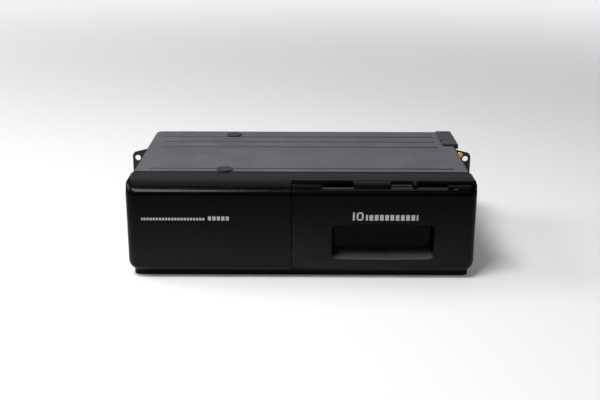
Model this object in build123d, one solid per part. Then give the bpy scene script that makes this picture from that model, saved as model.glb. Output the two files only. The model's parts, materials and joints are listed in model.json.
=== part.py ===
from build123d import *
import math
import os

# Car CD changer: a steel case with a moulded fascia, a top-hinged door over the magazine bay
# on the right, and a lifting disc drive on the left. Millimetres, +Z up, -Y towards the user.
# The origin is on the ground, in the middle of the width and of the depth.

# ---------------------------------------------------------------- overall sizes
body_width = 262.0
total_depth = 161.0
cover_inset = 1.8
fascia_depth = 31.0
cover_width = body_width - 2 * cover_inset
cover_depth = total_depth - fascia_depth
cover_top = 76.0
front_y = -total_depth / 2
rear_y = total_depth / 2
cover_front = rear_y - cover_depth

# ---------------------------------------------------------------- sheet steel case
cover_sheet = 1.0
cover_skirt_bottom = 3.0
cover_edge_radius = 2.0
cover_corner_radius = 6.0
rear_lip_height = 5.0
rear_lip_sheet = 0.9
pan_sheet = 1.0
pan_floor = 1.2
pan_gap = 0.2
pan_front_set = 9.0
pan_wall_top = 74.6
pan_front_top = 4.0
pan_corner_radius = 5.0
pan_half = cover_width / 2 - cover_sheet - pan_gap
pan_front = front_y + pan_front_set
pan_rear = rear_y - rear_lip_sheet - 0.1
seam_gap = 0.3

bead_width = 3.0
bead_depth = 0.9
bead_left = -117.3
bead_right = 114.2
front_bead_right = 118.4
rear_bead_first = 20.6
bead_spacing = 17.4
front_bead_set = 8.2

# ---------------------------------------------------------------- fascia and door
fascia_bottom = 5.1
fascia_top = 75.5
fascia_wall = 2.2
tab_sheet = 1.6
fascia_corner_radius = 8.5
fascia_edge_radius = 8.0
fascia_back = cover_front - seam_gap
door_left = -7.0
door_gap = 0.5
hinge_set = 3.5
hinge_drop = 3.3
pin_radius = 1.0
pin_clearance = 0.05
knuckle_radius = 2.3
hinge_sweep_radius = 2.35
hinge_clearance = 0.3
notch_left = 5.0
notch_right = 115.0
notch_drop = 2.3
left_knuckle_width = 10.3
right_knuckle_width = 6.6
lug_left = 38.9
lug_width = 27.4
end_lug_width = 2.5
end_lug_right = 85.5
hinge_y = front_y + hinge_set
hinge_z = fascia_top - hinge_drop
door_open_angle = 100.0

recess_left = 22.9
recess_width = 77.0
recess_bottom = 16.0
recess_height = 28.3
recess_corner_radius = 4.5
recess_bow = 0.7
recess_depth = 14.0
recess_wall = 1.4
recess_draft = 5.0
recess_back_radius = 2.5

# ---------------------------------------------------------------- magazine and trays
tray_count = 10
tray_pitch = 4.9
tray_thickness = 2.6
tray_floor = 1.1
tray_length = 124.5
tray_width = 129.4
disc_radius = 60.0
disc_play = 0.6
tray_slot_radius = 19.0
tray_play = 0.3
tray_left = -3.5
tray_travel = 117.7
magazine_left = -4.5
magazine_width = 128.0
magazine_wall = 3.0
magazine_side = 2.0
magazine_skin = 1.5
magazine_bottom = 15.5
magazine_front_gap = 2.0
magazine_rib = 2.5
rib_play = 0.35
magazine_travel = 35.0
magazine_front = front_y + recess_depth + recess_wall + magazine_front_gap
magazine_depth = tray_width + 2 * tray_play + 2 * magazine_wall
magazine_rear = magazine_front + magazine_depth
magazine_height = tray_count * tray_pitch + 2 * magazine_skin + 1.0
magazine_top = magazine_bottom + magazine_height
first_tray = magazine_bottom + magazine_skin + 0.3
tray_front = magazine_front + magazine_wall + tray_play
disc_y = tray_front + tray_width / 2
disc_home_x = tray_left + tray_length / 2
spindle_x = disc_home_x - tray_travel

# ---------------------------------------------------------------- floating mechanism frame
frame_floor = 3.0
frame_sheet = 1.2
frame_top = frame_floor + frame_sheet
frame_side_gap = 1.5
frame_half = pan_half - pan_sheet - frame_side_gap
wall_sheet = 1.0
wall_gap = 1.0
wall_top = 73.0
wall_right = -9.0
lift_wall_front = tray_front - wall_gap - wall_sheet
lift_wall_rear = tray_front + tray_width + wall_gap
frame_front = pan_front + pan_sheet + 0.9
frame_rear = lift_wall_rear + wall_sheet + 3.0

# ---------------------------------------------------------------- drive on its lift table
lift_travel = 50.0
table_bottom = 5.0
table_sheet = 1.2
table_left = -124.0
table_right = -8.5
table_top = table_bottom + table_sheet
guide_pin_radius = 1.5
guide_pin_z = 8.2
guide_pin_play = 0.2
outer_pin_x = -108.0
cam_pin_x = -62.0
inner_pin_x = -24.0
cam_sheet = 1.2
cam_gap = 0.4
cam_travel = 34.0
cam_margin = 8.0
seat_z = 13.5
turntable_radius = 13.0
spindle_motor_radius = 9.0
clamp_plate_z = 16.2
clamp_sheet = 0.7
clamp_pivot_x = -122.7
clamp_pivot_z = 14.6
clamp_open_angle = 5.0
sled_inner = 24.0
sled_travel = 34.0
sled_rod_spacing = 32.0
sled_rod_radius = 1.5
sled_rod_z = 9.2

# ---------------------------------------------------------------- gear teeth
gear_module = 0.8
pressure_angle = 20.0
gear_backlash = 0.14
gear_addendum = 0.85
gear_dedendum = 1.2
lift_pinion_teeth = 10
lift_wheel_teeth = 14
motor_pinion_teeth = 9
sled_gear_teeth = 12

# ---------------------------------------------------------------- brackets and fasteners
bracket_sheet = 1.6
bend_radius = 1.2
bracket_gap = 0.2
bracket_ear_y = rear_y - 20.5
bracket_length = 38.0
bracket_front = bracket_ear_y - bracket_length
bracket_bottom = 14.0
bracket_reach = 17.5
bracket_span = body_width + 2 * bracket_reach
bracket_screw_set = 9.0
bracket_screw_spacing = 28.0
ear_outer_top = 61.3
ear_inner_top = 64.5
ear_corner_radius = 4.0
ear_hole_radius = 2.5
ear_hole_set = 4.5
ear_hole_z = 56.5
ear_hole_spacing = 30.0
screw_radius = 1.5
screw_hole_play = 0.1
screw_head_radius = 2.75
screw_head_height = 1.6
cross_depth = 0.9
cross_length = 2.9
cross_width = 0.7
cap_radius = 6.5
cap_height = 1.0
cap_x = -59.0
front_cap_set = 5.0
rear_cap_set = 15.0

plate_right = body_width / 2 + 1.0
plate_left = plate_right - 13.2
plate_rear = rear_y - 6.3
plate_front = plate_rear - 45.4
plate_top = 78.0
plate_sheet = 1.2
plate_lip = 4.5

dial_radius = 9.0
dial_y = -15.0
dial_z = 40.0
dial_hub_radius = 3.0


# ---------------------------------------------------------------- plain helpers
def block(x0, x1, y0, y1, z0, z1):
    """A box between two corners."""
    middle = ((x0 + x1) / 2, (y0 + y1) / 2, (z0 + z1) / 2)
    return Pos(*middle) * Box(x1 - x0, y1 - y0, z1 - z0)


def rod_x(x0, x1, y, z, radius):
    """A round bar along X."""
    return Pos((x0 + x1) / 2, y, z) * Rot(0, 90, 0) * Cylinder(radius, x1 - x0)


def rod_y(y0, y1, x, z, radius):
    """A round bar along Y."""
    return Pos(x, (y0 + y1) / 2, z) * Rot(90, 0, 0) * Cylinder(radius, y1 - y0)


def rod_z(z0, z1, x, y, radius):
    """A round bar along Z."""
    return Pos(x, y, (z0 + z1) / 2) * Cylinder(radius, z1 - z0)


def slot_z(z0, z1, x, y0, y1, radius):
    """A cut through a wall that faces Y: a round pin's path along Z."""
    return block(x - radius, x + radius, y0, y1, z0, z1) + rod_y(y0, y1, x, z0, radius) + rod_y(y0, y1, x, z1, radius)


def rounded_plate(x0, x1, y0, y1, z0, z1, radius):
    """A plate with round corners in plan."""
    outline = Pos((x0 + x1) / 2, (y0 + y1) / 2, z0) * RectangleRounded(x1 - x0, y1 - y0, radius)
    return extrude(outline, z1 - z0)


def mirrored(shape):
    """The same shape on the other side of the middle plane."""
    return mirror(shape, Plane.YZ)


def write(name, shape):
    """One sub-part as one file."""
    shape.label = name
    export_step(shape, f"parts/{name}.step")


def screw_along_x(x_seat, y, z, length, side):
    """A pan-head screw driven in towards the middle; side is 1 on the right and -1 on the left."""
    head_end = x_seat + side * screw_head_height
    shank_end = x_seat - side * length
    head = rod_x(min(x_seat, head_end), max(x_seat, head_end), y, z, screw_head_radius)
    rim = head.edges().sort_by(Axis.X)[-1 if side == 1 else 0]
    head = fillet(rim, screw_head_height / 2)
    recess_low = min(head_end, head_end - side * cross_depth)
    for wide, tall in ((cross_length, cross_width), (cross_width, cross_length)):
        head = head - block(recess_low, recess_low + cross_depth, y - wide / 2, y + wide / 2, z - tall / 2, z + tall / 2)
    shank = rod_x(min(x_seat, shank_end), max(x_seat, shank_end), y, z, screw_radius)
    return head + shank


# ---------------------------------------------------------------- gear teeth
def involute_gear(teeth, thickness, turn=0.0):
    """A spur gear standing on Z = 0. The flanks are involutes of the base circle; turn is in degrees."""
    pitch_radius = gear_module * teeth / 2
    base_radius = pitch_radius * math.cos(math.radians(pressure_angle))
    tip_radius = pitch_radius + gear_addendum * gear_module
    root_radius = pitch_radius - gear_dedendum * gear_module
    start_radius = max(base_radius, root_radius)
    half_tooth = math.pi / (2 * teeth) - gear_backlash / (2 * pitch_radius)
    pitch_roll = math.tan(math.radians(pressure_angle)) - math.radians(pressure_angle)
    flank = []
    steps = 3
    for step in range(steps + 1):
        radius = start_radius + (tip_radius - start_radius) * step / steps
        roll_angle = math.acos(min(1.0, base_radius / radius))
        flank.append((radius, half_tooth + pitch_roll - (math.tan(roll_angle) - roll_angle)))
    points = []
    for tooth in range(teeth):
        centre = 2 * math.pi * tooth / teeth + math.radians(turn)
        rising = [(root_radius, -flank[0][1])] + [(radius, -angle) for radius, angle in flank]
        falling = [(radius, angle) for radius, angle in reversed(flank)] + [(root_radius, flank[0][1])]
        for radius, angle in rising + falling:
            points.append((radius * math.cos(centre + angle), radius * math.sin(centre + angle)))
    return extrude(make_face(Polyline(*points, close=True)), thickness)


def rack_teeth(first_x, count, pitch_y, side, z0, z1):
    """Straight-flanked teeth along X on a bar; side is the way the teeth point along Y."""
    pitch = math.pi * gear_module
    slope = math.tan(math.radians(pressure_angle))
    addendum = gear_addendum * gear_module
    dedendum = gear_dedendum * gear_module
    half = pitch / 4 - gear_backlash / 2
    teeth = []
    for index in range(count):
        x = first_x + index * pitch
        root_half = half + dedendum * slope
        tip_half = half - addendum * slope
        root_y = pitch_y - side * dedendum
        tip_y = pitch_y + side * addendum
        corners = [(x - root_half, root_y), (x - tip_half, tip_y), (x + tip_half, tip_y), (x + root_half, root_y)]
        tooth = extrude(Pos(0, 0, z0) * make_face(Polyline(*corners, close=True)), z1 - z0)
        teeth.append(tooth)
    return teeth


# ---------------------------------------------------------------- case
def top_cover():
    """Drawn steel cover: a top with pressed beads, side skirts, a short rear lip and a cut rear corner."""
    half = cover_width / 2
    outline = Pos(0, (cover_front + rear_y) / 2, cover_skirt_bottom) * Rectangle(cover_width, cover_depth)
    height = cover_top - cover_skirt_bottom
    shell = extrude(outline, height)
    rear_corners = shell.edges().filter_by(Axis.Z).group_by(Axis.Y)[-1]
    shell = fillet(rear_corners, cover_corner_radius)
    top_edges = shell.edges().group_by(Axis.Z)[-1] - shell.edges().group_by(Axis.Y)[0]
    shell = fillet(top_edges, cover_edge_radius)
    inner_half = half - cover_sheet
    room = block(-inner_half, inner_half, cover_front - 1, rear_y - rear_lip_sheet, 0, cover_top - cover_sheet)
    room_corners = room.edges().filter_by(Axis.Z).group_by(Axis.Y)[-1]
    room = fillet(room_corners, cover_corner_radius - cover_sheet)
    shell = shell - room
    lip_cut = block(-half + 8, half - 8, rear_y - 3, rear_y + 1, 0, cover_top - rear_lip_height)
    shell = shell - lip_cut
    for y, right in bead_lines():
        shell = shell + bead(bead_left, right, y, bead_width + 2 * cover_sheet, cover_top - cover_sheet)
        shell = shell - bead(bead_left, right, y, bead_width, cover_top)
    notch = block(plate_left + 2.2, half + 1, plate_front + 1.5, rear_y + 1, 62, cover_top + 1)
    notch_end = notch.edges().filter_by(Axis.Z).group_by(Axis.Y)[0].sort_by(Axis.X)[0]
    shell = shell - fillet(notch_end, 3)
    shell = shell - cover_side_holes()
    return shell


def bead_lines():
    """Y of each pressed bead with its right end."""
    lines = [(rear_y - rear_bead_first - index * bead_spacing, bead_right) for index in range(3)]
    return lines + [(cover_front + front_bead_set, front_bead_right)]


def bead(x0, x1, y, width, z):
    """A trough with sloping sides along X, as deep as a pressed bead, hanging from the level z."""
    corners = [(y - width / 2, z), (y - width / 4, z - bead_depth), (y + width / 4, z - bead_depth), (y + width / 2, z)]
    face = Plane.YZ.offset(x0) * make_face(Polyline(*corners, close=True))
    return extrude(face, x1 - x0)


def cover_side_holes():
    """Clear holes for the dials, the cover screws and the bracket screws in both skirts."""
    inner = cover_width / 2 - cover_sheet - 1
    outer = cover_width / 2 + 1
    holes = rod_x(inner, outer, dial_y, dial_z, dial_radius + 0.5)
    for y, z in cover_screw_places() + bracket_screw_places():
        holes = holes + rod_x(inner, outer, y, z, screw_radius + screw_hole_play)
    return holes + mirrored(holes)


def cover_screw_places():
    """Y and Z of the cover's side screws."""
    return [(cover_front + 9, 12.0), (rear_y - 12, 12.0), (cover_front + 9, 62.0)]


def bracket_screw_places():
    """Y and Z of the screws that hold each side bracket."""
    y = bracket_front + bracket_screw_set
    low = bracket_bottom + bracket_screw_set
    return [(y, low), (y, low + bracket_screw_spacing)]


def bottom_pan():
    """Folded steel pan with low front walls and full side and rear walls."""
    pan = rounded_plate(-pan_half, pan_half, pan_front, pan_rear, 0, pan_wall_top, pan_corner_radius)
    inner = rounded_plate(-pan_half + pan_sheet, pan_half - pan_sheet, pan_front + pan_sheet, pan_rear - pan_sheet,
                          pan_floor, pan_wall_top + 1, pan_corner_radius - pan_sheet)
    pan = pan - inner
    pan = pan - block(-pan_half - 1, pan_half + 1, pan_front - 1, cover_front + 0.5, pan_front_top, pan_wall_top + 1)
    for x in (-84, -42, 42, 84):
        pan = pan - rounded_plate(x - 14, x + 14, -4, 4, -1, pan_floor + 1, 3.9)
    side_holes = rod_x(pan_half - pan_sheet - 1, pan_half + 1, dial_y, dial_z, dial_hub_radius + pin_clearance)
    for y, z in cover_screw_places() + bracket_screw_places():
        side_holes = side_holes + rod_x(pan_half - pan_sheet - 1, pan_half + 1, y, z, screw_radius + screw_hole_play)
    pan = pan - side_holes - mirrored(side_holes)
    boss_y, boss_z = corner_screw_place()
    pan = pan + rod_x(pan_half - 0.5, plate_right - plate_sheet - 0.2, boss_y, boss_z, 3.5)
    pan = pan - rod_x(pan_half - pan_sheet - 1, plate_right, boss_y, boss_z, screw_radius + screw_hole_play)
    pan = pan - rod_y(pan_rear - pan_sheet - 1, pan_rear + 1, socket_x, socket_z, socket_radius + 0.2)
    return pan


def cover_screws():
    """Six pan-head screws that hold the cover's skirts to the pan."""
    seat = cover_width / 2 + 0.05
    right = [screw_along_x(seat, y, z, 3.2, 1) for y, z in cover_screw_places()]
    left = [screw_along_x(-seat, y, z, 3.2, -1) for y, z in cover_screw_places()]
    return Compound(children=right + left)


def transit_caps():
    """Two round caps over the transport-screw holes, just clear of the cover."""
    caps = []
    for y in (cover_front + front_cap_set, rear_y - rear_cap_set):
        cap = rod_z(cover_top + 0.05, cover_top + cap_height, cap_x, y, cap_radius)
        cap = fillet(cap.edges().group_by(Axis.Z)[-1], 0.4)
        caps.append(cap)
    return Compound(children=caps)


def corner_screw_place():
    """Y and Z of the screw that holds the corner plate."""
    return ((plate_front + plate_rear) / 2 - 1.5, plate_top - 11.0)


def corner_plate():
    """Folded steel plate over the cut corner of the cover, with a side lip and a screwed tongue."""
    top = block(plate_left, plate_right, plate_front, plate_rear, plate_top - plate_sheet, plate_top)
    lip = block(plate_right - plate_sheet, plate_right, plate_front, plate_rear, plate_top - plate_lip, plate_top)
    y, z = corner_screw_place()
    tongue = block(plate_right - plate_sheet, plate_right, y - 7, y + 7, z - 6, plate_top)
    plate = top + lip + tongue
    bend = plate.edges().filter_by(Axis.Y).group_by(Axis.Z)[-1].sort_by(Axis.X)[-1]
    plate = fillet(bend, 1.0)
    hook = Pos(plate_left + 3.2, plate_front + 11.5, plate_top - plate_sheet - 1) * Cylinder(3.4, 6)
    hook = hook - Pos(plate_left + 3.2, plate_front + 11.5, plate_top - plate_sheet - 1) * Cylinder(2.2, 6)
    hook = hook & block(plate_left - 1, plate_right, plate_front + 11, plate_front + 20, plate_top - 4, plate_top + 1)
    plate = plate - hook
    return plate - rod_x(plate_right - 3, plate_right + 1, y, z, screw_radius + screw_hole_play)


def corner_screw():
    """The pan-head screw through the corner plate's tongue."""
    y, z = corner_screw_place()
    return screw_along_x(plate_right + 0.05, y, z, 5.0, 1)


def side_bracket():
    """Right-hand mounting bracket: a plate on the side wall, bent out into an ear with two holes."""
    inner = cover_width / 2 + bracket_gap
    outer = inner + bracket_sheet
    tip = bracket_span / 2
    plate_profile = [(bracket_front, bracket_bottom), (bracket_ear_y + bracket_sheet, bracket_bottom),
                     (bracket_ear_y + bracket_sheet, ear_inner_top + 1.4), (bracket_ear_y - 1.5, ear_inner_top + 1.4),
                     (bracket_ear_y - 2.5, ear_inner_top - 6), (bracket_front + 14, ear_inner_top - 6),
                     (bracket_front, ear_inner_top - 14)]
    side = extrude(Plane.YZ.offset(inner) * make_face(Polyline(*plate_profile, close=True)), bracket_sheet)
    ear_profile = [(inner, bracket_bottom), (tip, bracket_bottom + 4), (tip, ear_outer_top), (inner, ear_inner_top + 1.4)]
    ear_face = Plane(origin=(0, bracket_ear_y + bracket_sheet, 0), x_dir=(1, 0, 0), z_dir=(0, -1, 0))
    ear = extrude(ear_face * make_face(Polyline(*ear_profile, close=True)), bracket_sheet)
    ear = fillet(ear.edges().filter_by(Axis.Y).sort_by(Axis.X)[-2:], ear_corner_radius)
    bracket = side + ear
    bend = bracket.edges().filter_by(Axis.Z).group_by(Axis.Y)[-1].sort_by(Axis.X)[0]
    bracket = fillet(bend, bend_radius)
    for z in (ear_hole_z, ear_hole_z - ear_hole_spacing):
        bracket = bracket - rod_y(bracket_ear_y - 1, bracket_ear_y + 3, tip - ear_hole_set, z, ear_hole_radius)
    for y, z in bracket_screw_places():
        bracket = bracket - rod_x(inner - 1, outer + 1, y, z, screw_radius + screw_hole_play)
    return bracket


def bracket_screws():
    """Four screws that hold the side brackets."""
    seat = cover_width / 2 + bracket_gap + bracket_sheet + 0.05
    right = [screw_along_x(seat, y, z, 5.0, 1) for y, z in bracket_screw_places()]
    left = [screw_along_x(-seat, y, z, 5.0, -1) for y, z in bracket_screw_places()]
    return Compound(children=right + left)


def earth_screw():
    """Brass earthing screw on the front of the right-hand ear, near its root."""
    head = rod_y(bracket_ear_y - 2.05, bracket_ear_y - 0.05, earth_x, earth_z, 2.6)
    head = chamfer(head.edges().group_by(Axis.Y)[0], 0.4)
    slot = block(earth_x - 3, earth_x + 3, bracket_ear_y - 3, bracket_ear_y - 1.4, earth_z - 0.4, earth_z + 0.4)
    return head - slot


earth_x = bracket_span / 2 - 9.7
earth_z = 60.6


def angle_dial():
    """Right-hand mounting-angle dial: a disc with a coin slot, on a hub through the side wall."""
    face_x = cover_width / 2 + 0.4
    dial = rod_x(pan_half + 0.1, face_x, dial_y, dial_z, dial_radius)
    hub = rod_x(pan_half - pan_sheet - 1.0, pan_half + 0.5, dial_y, dial_z, dial_hub_radius)
    slot = block(face_x - 0.8, face_x + 1, dial_y - 1, dial_y + 1, dial_z - 6, dial_z + 6)
    pointer = block(face_x - 0.5, face_x + 1, dial_y - 0.5, dial_y + 0.5, dial_z + 6.8, dial_z + 8.4)
    return dial + hub - slot - pointer


# ---------------------------------------------------------------- fascia and door
def front_form(inset):
    """The fascia's outer form, or the same form drawn in by an even wall."""
    half = body_width / 2 - inset
    low = fascia_bottom + inset
    high = fascia_top - inset
    face = front_y + inset
    body = block(-half, half, face, fascia_back + inset, low, high)
    body = fillet(body.edges().filter_by(Axis.Y), fascia_corner_radius - inset)
    return fillet(body.faces().sort_by(Axis.Y)[0].edges(), fascia_edge_radius - inset)


def hinge_reach(radius, x0, x1):
    """The room within a radius of the hinge line."""
    return rod_x(x0, x1, hinge_y, hinge_z, radius)


def fascia():
    """Moulded front shell with the bay's opening, the hinge lugs and tabs into the case."""
    body = front_form(0) - front_form(fascia_wall)
    body = body - block(-body_width, body_width, fascia_back - 0.001, fascia_back + 10, 0, 100)
    far = body_width
    door_room = block(door_left - door_gap, far, front_y - 1, hinge_y + door_gap, 0, 100)
    body = body - door_room
    body = body - hinge_reach(hinge_sweep_radius + hinge_clearance, door_left - door_gap, far)
    floor_cut = pan_half - 2.0
    body = body - block(-floor_cut, floor_cut, pan_front - 2.0, fascia_back + 1, 0, fascia_bottom + fascia_wall + 1.7)
    post = block(door_left - door_gap - fascia_wall, door_left - door_gap, front_y, hinge_y + 8, 0, 100)
    body = body + (post & front_form(0))
    for x0, width in ((lug_left, lug_width), (end_lug_right - end_lug_width, end_lug_width)):
        lug = hinge_reach(knuckle_radius, x0, x0 + width)
        neck = block(x0, x0 + width, hinge_y, hinge_y + 4, hinge_z - 1.2, hinge_z + 1.6)
        body = body + lug + neck
    body = body - hinge_reach(pin_radius + pin_clearance, notch_left, notch_right)
    for side in (-1, 1):
        for z in (14.0, 58.0):
            outer = pan_half - pan_sheet - 0.3
            tab = block(outer - tab_sheet, outer, fascia_back - 9, cover_front + 7, z, z + 8)
            foot = block(outer - tab_sheet, body_width / 2 - 1, fascia_back - 9, fascia_back - 6.5, z, z + 8)
            joined = tab + foot
            body = body + (joined if side == 1 else mirrored(joined))
    return body


def recess_outline(grow):
    """Front view of the finger recess: a rounded rectangle with bowed long sides."""
    left = recess_left - grow
    right = recess_left + recess_width + grow
    low = recess_bottom - grow
    high = recess_bottom + recess_height + grow
    middle = (left + right) / 2
    bottom_edge = ThreePointArc((left, low + recess_bow), (middle, low), (right, low + recess_bow))
    right_edge = Line((right, low + recess_bow), (right, high - recess_bow))
    top_edge = ThreePointArc((right, high - recess_bow), (middle, high), (left, high - recess_bow))
    left_edge = Line((left, high - recess_bow), (left, low + recess_bow))
    outline = make_face([bottom_edge, right_edge, top_edge, left_edge])
    return fillet(outline.vertices(), recess_corner_radius + grow)


def recess_solid(grow):
    """The recess as a solid that narrows towards a back with round edges."""
    back = front_y + recess_depth + grow
    face = Plane(origin=(0, front_y, 0), x_dir=(-1, 0, 0), z_dir=(0, 1, 0))
    turned = mirror(recess_outline(grow), Plane.YZ)
    solid = extrude(face * turned, back - front_y, taper=recess_draft)
    solid = solid + extrude(face * turned, -2)
    back_edges = solid.faces().sort_by(Axis.Y)[-1].edges()
    return fillet(back_edges, recess_back_radius + grow)


def door():
    """Moulded flap: the fascia's form in front of the hinge line, a scooped recess and two knuckles."""
    far = body_width
    skin = front_form(0) - front_form(fascia_wall)
    front_room = block(door_left, far, front_y - 1, hinge_y, 0, 100)
    curl = hinge_reach(hinge_sweep_radius, door_left, far) & block(door_left, far, hinge_y - 1, hinge_y + 3, hinge_z, 100)
    flap = skin & (front_room + curl)
    edge = block(door_left, door_left + fascia_wall, front_y, hinge_y, 0, 100) & front_form(0)
    flap = flap + edge
    shell = recess_solid(recess_wall) & block(0, far, front_y + fascia_wall - 0.5, 0, 0, 100)
    flap = flap + shell
    flap = flap - recess_solid(0)
    notch = block(notch_left, notch_right, front_y - 1, hinge_y + 5, hinge_z - notch_drop, 100)
    flap = flap - notch
    for x0, width in ((notch_left, left_knuckle_width), (notch_right - right_knuckle_width, right_knuckle_width)):
        knuckle = hinge_reach(knuckle_radius, x0, x0 + width)
        web = block(x0, x0 + width, hinge_y - 2.6, hinge_y, hinge_z - notch_drop - 1, hinge_z)
        flap = flap + knuckle + (web & front_form(0))
    return flap - hinge_reach(pin_radius, notch_left - 2, notch_right + 2)


def hinge_pin():
    """Steel pin through the door's knuckles and the fascia's lugs."""
    return hinge_reach(pin_radius, notch_left - 2, notch_right + 2)


def door_spring():
    """Closing spring wound round the hinge pin between the two lugs, with its two legs."""
    left = lug_left + lug_width + 0.4
    right = end_lug_right - end_lug_width - 0.4
    coil = hinge_reach(2.0, left, right) - hinge_reach(pin_radius + 0.35, left - 1, right + 1)
    leg = block(left, left + 0.7, hinge_y + 1.4, hinge_y + 6.0, hinge_z - 1.6, hinge_z - 0.9)
    return coil + leg


# ---------------------------------------------------------------- magazine
def tray_level(index):
    """Underside of a tray."""
    return first_tray + index * tray_pitch


def magazine_case():
    """Moulded magazine, open on the left, with a rib between each pair of trays front and rear."""
    right = magazine_left + magazine_width
    body = rounded_plate(magazine_left, right, magazine_front, magazine_rear, magazine_bottom, magazine_top, 3)
    inner_front = magazine_front + magazine_wall
    inner_rear = magazine_rear - magazine_wall
    room_low = magazine_bottom + magazine_skin
    room_high = magazine_top - magazine_skin
    body = body - block(magazine_left - 1, right - magazine_side, inner_front, inner_rear, room_low, room_high)
    for index in range(tray_count - 1):
        low = tray_level(index) + tray_thickness + rib_play
        high = tray_level(index + 1) - rib_play
        body = body + block(magazine_left + 1, right - 1, inner_front - 0.5, inner_front + magazine_rib, low, high)
        body = body + block(magazine_left + 1, right - 1, inner_rear - magazine_rib, inner_rear + 0.5, low, high)
    grip = rod_x(magazine_left + 40, right - 40, magazine_front - 4, magazine_bottom + 22, 6)
    body = body - grip
    for index in range(6):
        x = magazine_left + 15 + index * 18
        body = body - block(x, x + 9, magazine_front + 20, magazine_rear - 20, magazine_top - 0.5, magazine_top + 1)
    return body


def disc_tray(index):
    """One tray: a fork open on the left, with a disc seat and a hook notch at its front edge."""
    low = tray_level(index)
    tray = rounded_plate(tray_left, tray_left + tray_length, tray_front, tray_front + tray_width,
                         low, low + tray_thickness, 2)
    tray = tray - rod_z(low + tray_floor, low + tray_thickness + 1, disc_home_x, disc_y, disc_radius + disc_play)
    slot = rod_z(low - 1, low + tray_thickness + 1, disc_home_x, disc_y, tray_slot_radius)
    mouth = block(tray_left - 1, disc_home_x, disc_y - tray_slot_radius, disc_y + tray_slot_radius,
                  low - 1, low + tray_thickness + 1)
    hook_notch = block(tray_left + 4, tray_left + 9, tray_front - 1, tray_front + 3, low - 1, low + tray_thickness + 1)
    return tray - (slot + mouth) - hook_notch


def magazine_holder():
    """Steel channel round the magazine: floor, right wall, rear wall, top rail and four legs."""
    left = magazine_left - 0.5
    wall_x = magazine_left + magazine_width + 0.3
    rear = magazine_rear + 0.5
    floor = block(left, wall_x + 1, magazine_front + 6, rear + 1, magazine_bottom - 1.3, magazine_bottom - 0.3)
    wall = block(wall_x, wall_x + 1, magazine_front + 6, rear + 1, magazine_bottom - 1.3, magazine_top + 1.3)
    back = block(left, wall_x + 1, rear, rear + 1, magazine_bottom - 1.3, magazine_top + 1.3)
    rail = block(wall_x - 14, wall_x + 1, magazine_front + 6, rear + 1, magazine_top + 0.3, magazine_top + 1.3)
    holder = floor + wall + back + rail
    for x in (left + 2, wall_x - 7):
        for y in (magazine_front + 8, magazine_rear - 10):
            holder = holder + block(x, x + 6, y, y + 6, frame_top + 0.05, magazine_bottom - 1.0)
    sill = block(left, wall_x + 1, sill_y, sill_y + 1, frame_top + 0.05, magazine_bottom - 0.3)
    tie = block(left, wall_x + 1, sill_y, magazine_front + 7, magazine_bottom - 1.3, magazine_bottom - 0.3)
    holder = holder + sill + tie
    hole = block(button_left - 0.15, button_left + button_width + 0.15, sill_y - 1, sill_y + 2,
                 button_bottom - 0.15, button_bottom + button_height + 0.15)
    return holder - hole


sill_y = magazine_front - 1.0
button_left = 106.0
button_width = 14.0
button_bottom = 7.6
button_height = 5.0
button_travel = 2.5


def eject_button():
    """Sprung eject button below the magazine, with a stem that reaches the release behind it."""
    cap = block(button_left, button_left + button_width, sill_y - 4.0, sill_y + 3.5,
                button_bottom, button_bottom + button_height)
    cap = fillet(cap.faces().sort_by(Axis.Y)[0].edges(), 0.8)
    flange = block(button_left - 1.5, button_left + button_width + 1.5, sill_y + 1.3, sill_y + 2.3,
                   button_bottom - 1.2, button_bottom + button_height + 0.4)
    return cap + flange


# ---------------------------------------------------------------- floating frame
def mechanism_frame():
    """Floating steel frame: a floor, two upright walls whose slots guide the lift table, and a gear shelf."""
    floor = rounded_plate(-frame_half, frame_half, frame_front, frame_rear, frame_floor, frame_top, 6)
    floor = floor - block(10, frame_half + 1, frame_front - 1, sill_y - 1, frame_floor - 1, frame_top + 1)
    walls = []
    for y in (lift_wall_front, lift_wall_rear):
        wall = block(table_left, wall_right, y, y + wall_sheet, frame_top - 0.5, wall_top)
        for x in (outer_pin_x, cam_pin_x, inner_pin_x):
            wall = wall - slot_z(guide_pin_z, guide_pin_z + lift_travel, x, y - 1, y + wall_sheet + 1,
                                 guide_pin_radius + guide_pin_play)
        wall = wall - block(outer_pin_x + 9, cam_pin_x - 9, y - 1, y + wall_sheet + 1, 18, 60)
        walls.append(wall)
    frame = floor + walls[0] + walls[1]
    for x, y in damper_places():
        frame = frame - rod_z(frame_floor - 1, frame_top + 1, x, y, damper_neck + 0.1)
    for x, y in board_posts():
        frame = frame + rod_z(frame_top - 0.5, board_z - 0.05, x, y, 2.5)
    left = motor_x - 13.0
    right = lift_gear_x + 6.0
    upright = block(left, right, frame_front, frame_front + shelf_sheet, frame_floor, shelf_top)
    shelf = block(left, right, front_y + fascia_wall + 1.2, frame_front + shelf_sheet, shelf_top - shelf_sheet, shelf_top)
    axle = rod_z(shelf_top - 0.5, rack_z + lift_pinion_height + lift_wheel_height + 0.6, lift_gear_x, lift_gear_y, 1.0)
    frame = frame + upright + shelf + axle
    return frame


damper_neck = 3.4


def damper_places():
    """X and Y of the four dampers."""
    return [(-112.0, -50.0), (-112.0, 60.0), (108.0, -44.0), (108.0, 58.0)]


def vibration_dampers():
    """Four spool-shaped rubber dampers between the pan and the floating frame."""
    dampers = []
    for x, y in damper_places():
        spool = rod_z(pan_floor + 0.05, frame_floor - 0.1, x, y, 6.0)
        spool = spool + rod_z(pan_floor + 0.05, frame_top + 0.4, x, y, damper_neck)
        spool = spool + rod_z(frame_top + 0.05, frame_top + 0.4, x, y, 5.0)
        dampers.append(spool)
    return Compound(children=dampers)


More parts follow.
